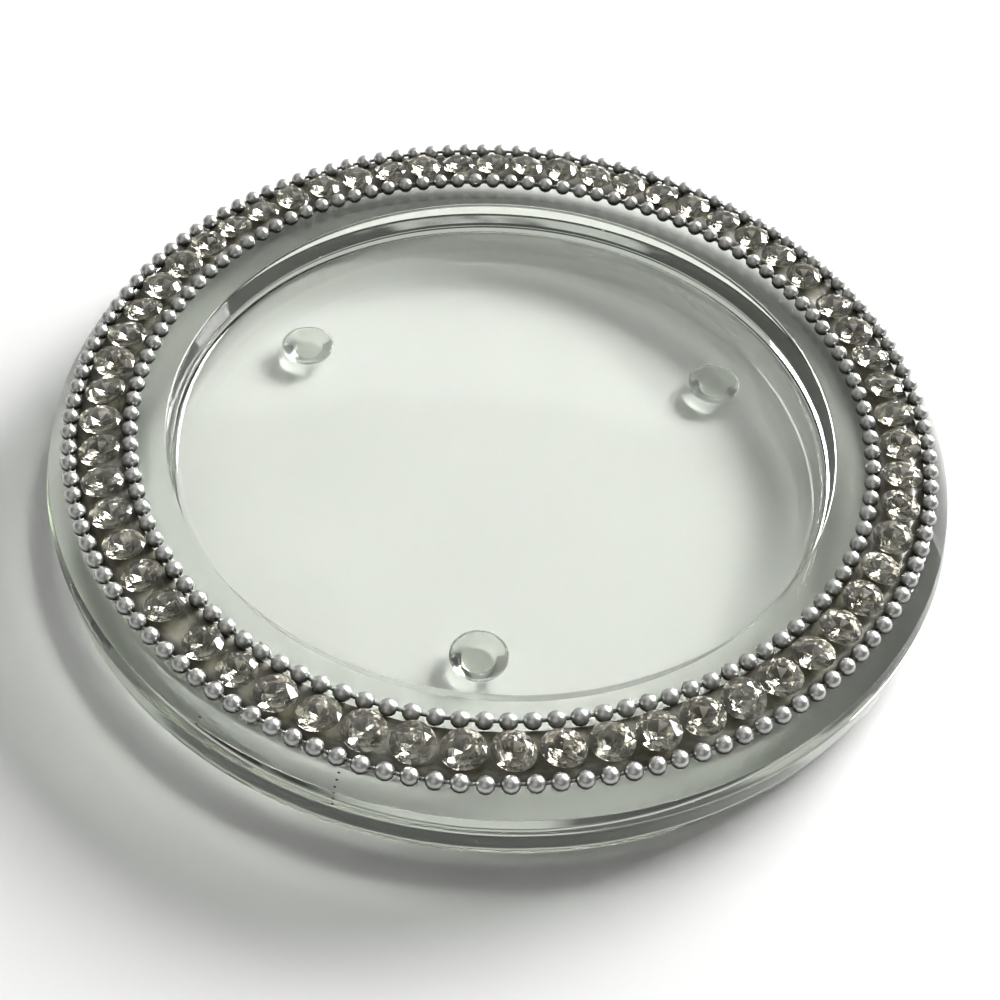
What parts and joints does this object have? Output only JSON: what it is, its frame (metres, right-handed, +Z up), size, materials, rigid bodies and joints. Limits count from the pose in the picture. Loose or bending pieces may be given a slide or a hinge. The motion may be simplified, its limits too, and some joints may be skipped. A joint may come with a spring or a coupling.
{
  "type": "candle plate",
  "caption": "Round clear glass candle plate with a shallow flat well and a flat rim edged by silver bead chains and faceted stones, standing on clear bumper feet.",
  "frame": {"origin": "on the standing surface, under the centre of the plate", "axes": "+Z up out of the well, -Y towards the viewer of the picture, +X to the viewer's right"},
  "size_m": [0.162, 0.162, 0.0189],
  "materials": {
    "clear_glass": "clear pressed glass, fire-polished",
    "glue": "dried olive-grey craft glue",
    "bead_silver": "satin silver plating",
    "stone": "faceted clear glass with a foiled back",
    "clear_bumper": "clear soft bumper"
  },
  "bodies": {
    "root": {"glass_plate": "clear_glass", "glue_bed": "glue", "inner_bead_chain": "bead_silver", "outer_bead_chain": "bead_silver", "rhinestones_01": "stone", "rhinestones_02": "stone", "rhinestones_03": "stone", "rhinestones_04": "stone", "rhinestones_05": "stone", "rhinestones_06": "stone", "rhinestones_07": "stone", "rhinestones_08": "stone", "rhinestones_09": "stone", "rhinestones_10": "stone", "rhinestones_11": "stone", "rhinestones_12": "stone", "bumper_foot_1": "clear_bumper", "bumper_foot_2": "clear_bumper", "bumper_foot_3": "clear_bumper"}
  },
  "joints": []
}
